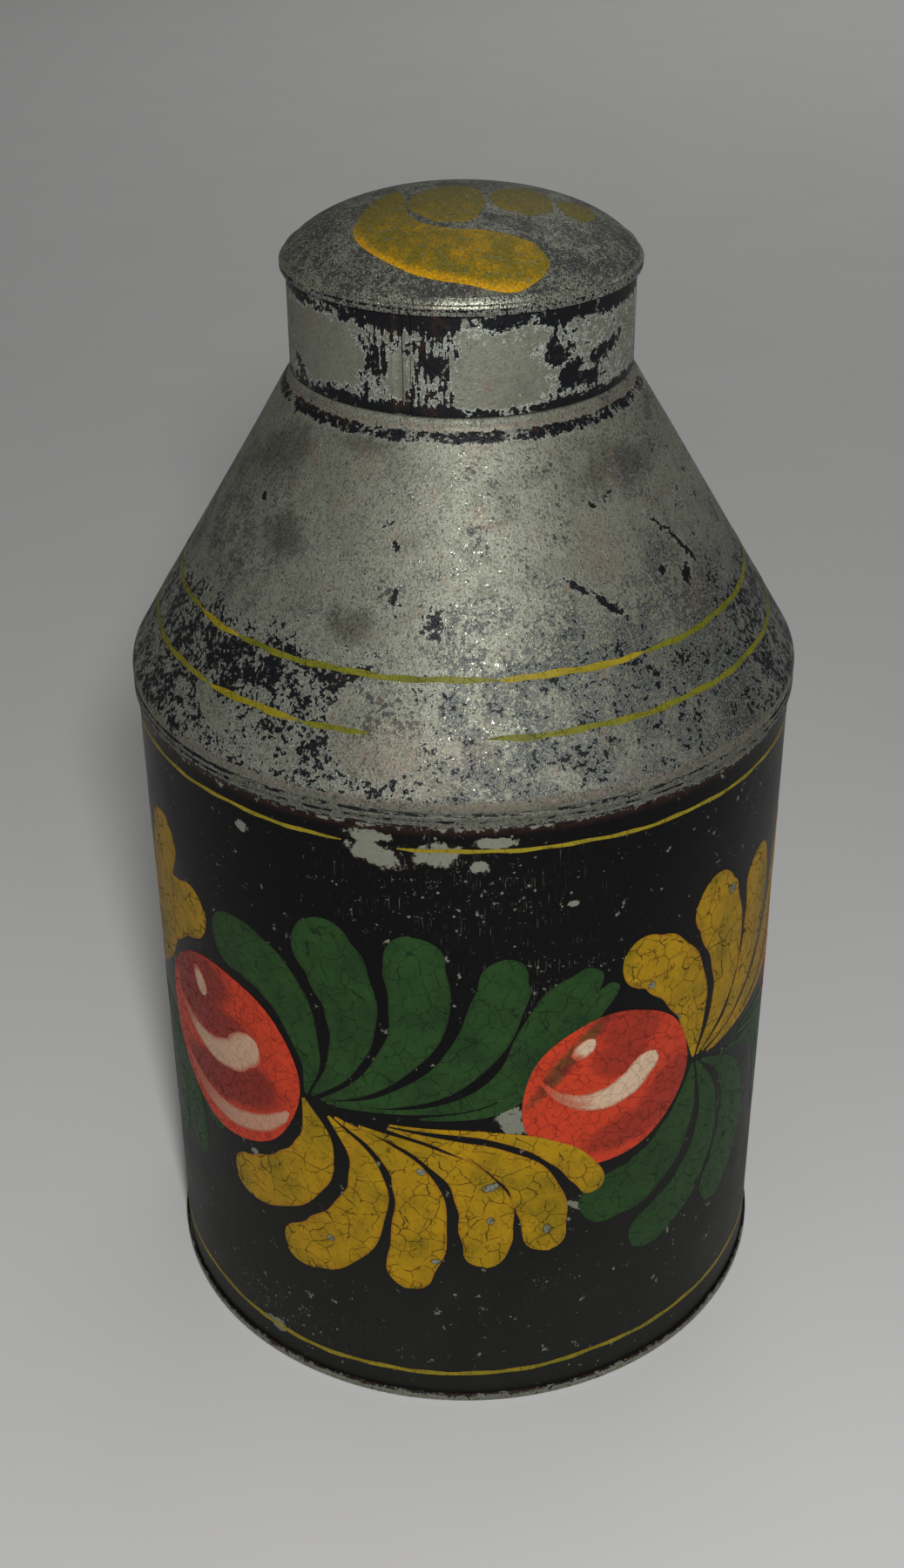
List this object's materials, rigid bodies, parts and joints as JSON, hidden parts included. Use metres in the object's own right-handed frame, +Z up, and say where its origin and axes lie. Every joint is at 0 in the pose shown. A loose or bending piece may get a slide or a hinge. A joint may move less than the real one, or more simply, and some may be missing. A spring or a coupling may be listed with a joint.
{
  "type": "painted tinplate canister",
  "caption": "Round tinplate canister with a coned shoulder, short neck and slip-on domed cap, black japanned body with painted fruit and comma-stroke leaves.",
  "frame": {"origin": "middle of the underside of the base plate, on the surface that the canister stands on", "axes": "+Z up along the canister's axis; the side with the cap's seam and the middle of the painted garland faces -Y; +X is to the right seen from the front"},
  "size_m": [0.1212, 0.1212, 0.2161],
  "materials": {
    "black_japan": "black varnish, softly glossy, chipped to bare tin near the shoulder",
    "worn_tin": "dull olive-grey tinplate with flecks of old black varnish",
    "speckled_tin": "finely speckled grey-brown tinplate",
    "solder": "dull grey tin-lead solder",
    "paint_green": "thin oil paint, finely cracked",
    "paint_yellow": "thin oil paint, finely cracked",
    "paint_red": "thin oil paint, finely cracked",
    "paint_white": "thin warm white oil paint"
  },
  "bodies": {
    "canister": {"body_wall": "black_japan", "body_seam_solder": "solder", "base_plate": "worn_tin", "base_solder": "solder", "shoulder_cone": "worn_tin", "shoulder_seam_solder": "solder", "shoulder_solder": "solder", "neck_band": "worn_tin", "neck_seam_solder": "solder", "neck_solder": "solder"},
    "cap": {"cap_top": "speckled_tin", "cap_skirt": "worn_tin", "cap_solder": "solder", "cap_seam_solder": "solder"}
  },
  "joints": [
    {"name": "cap_lift", "type": "slide", "parent": "canister", "child": "cap", "axis": [0, 0, 1], "range_m": [0, 0.04]}
  ]
}
